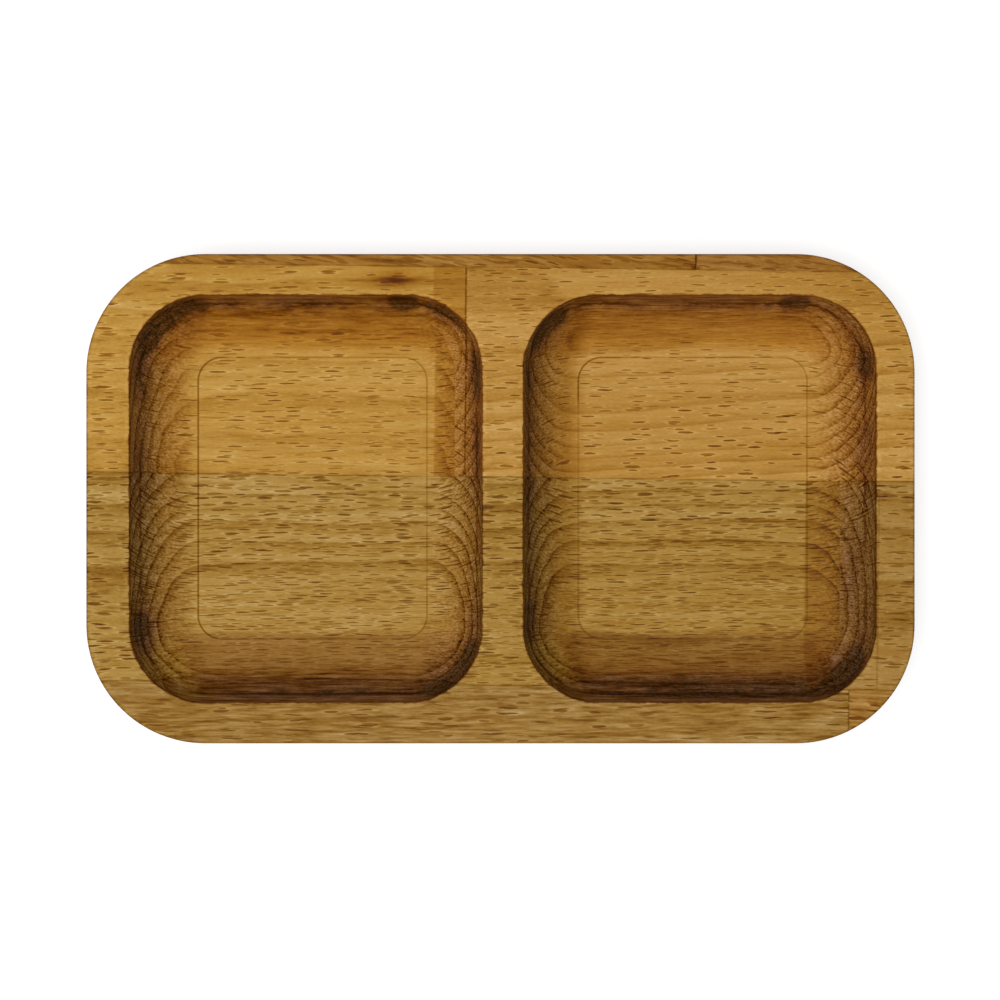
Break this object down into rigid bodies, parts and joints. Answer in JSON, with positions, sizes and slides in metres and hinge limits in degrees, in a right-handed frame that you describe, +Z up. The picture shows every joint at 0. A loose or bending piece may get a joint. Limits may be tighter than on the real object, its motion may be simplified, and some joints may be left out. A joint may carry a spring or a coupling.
{
  "type": "two pocket wooden tray",
  "caption": "Shallow wooden tray with rounded corners and two coved pockets side by side, milled from an edge-glued panel of finger-jointed beech staves.",
  "frame": {"origin": "centre of the underside's bounding rectangle, on the surface that the tray stands on", "axes": "+X along the tray's length, across the two pockets; +Y to its back, the side with the thin strip; +Z up, out of the pockets"},
  "size_m": [0.22, 0.13, 0.02],
  "materials": {
    "back_strip_left": "oiled beech, dark brown orange with curly streaks",
    "back_strip_right": "oiled beech, dark brown orange",
    "upper_stave_left": "oiled beech, golden",
    "upper_stave_right": "oiled beech, even golden tan",
    "lower_stave_left": "oiled beech, olive brown with dense flecks",
    "lower_stave_right": "oiled beech, tan",
    "front_strip_left": "oiled beech, tan brown with wavy figure",
    "front_strip_right": "oiled beech, orange brown"
  },
  "bodies": {
    "root": {"back_strip_left": "back_strip_left", "back_strip_right": "back_strip_right", "upper_stave_left": "upper_stave_left", "upper_stave_right": "upper_stave_right", "lower_stave_left": "lower_stave_left", "lower_stave_right": "lower_stave_right", "front_strip_left": "front_strip_left", "front_strip_right": "front_strip_right"}
  },
  "joints": []
}
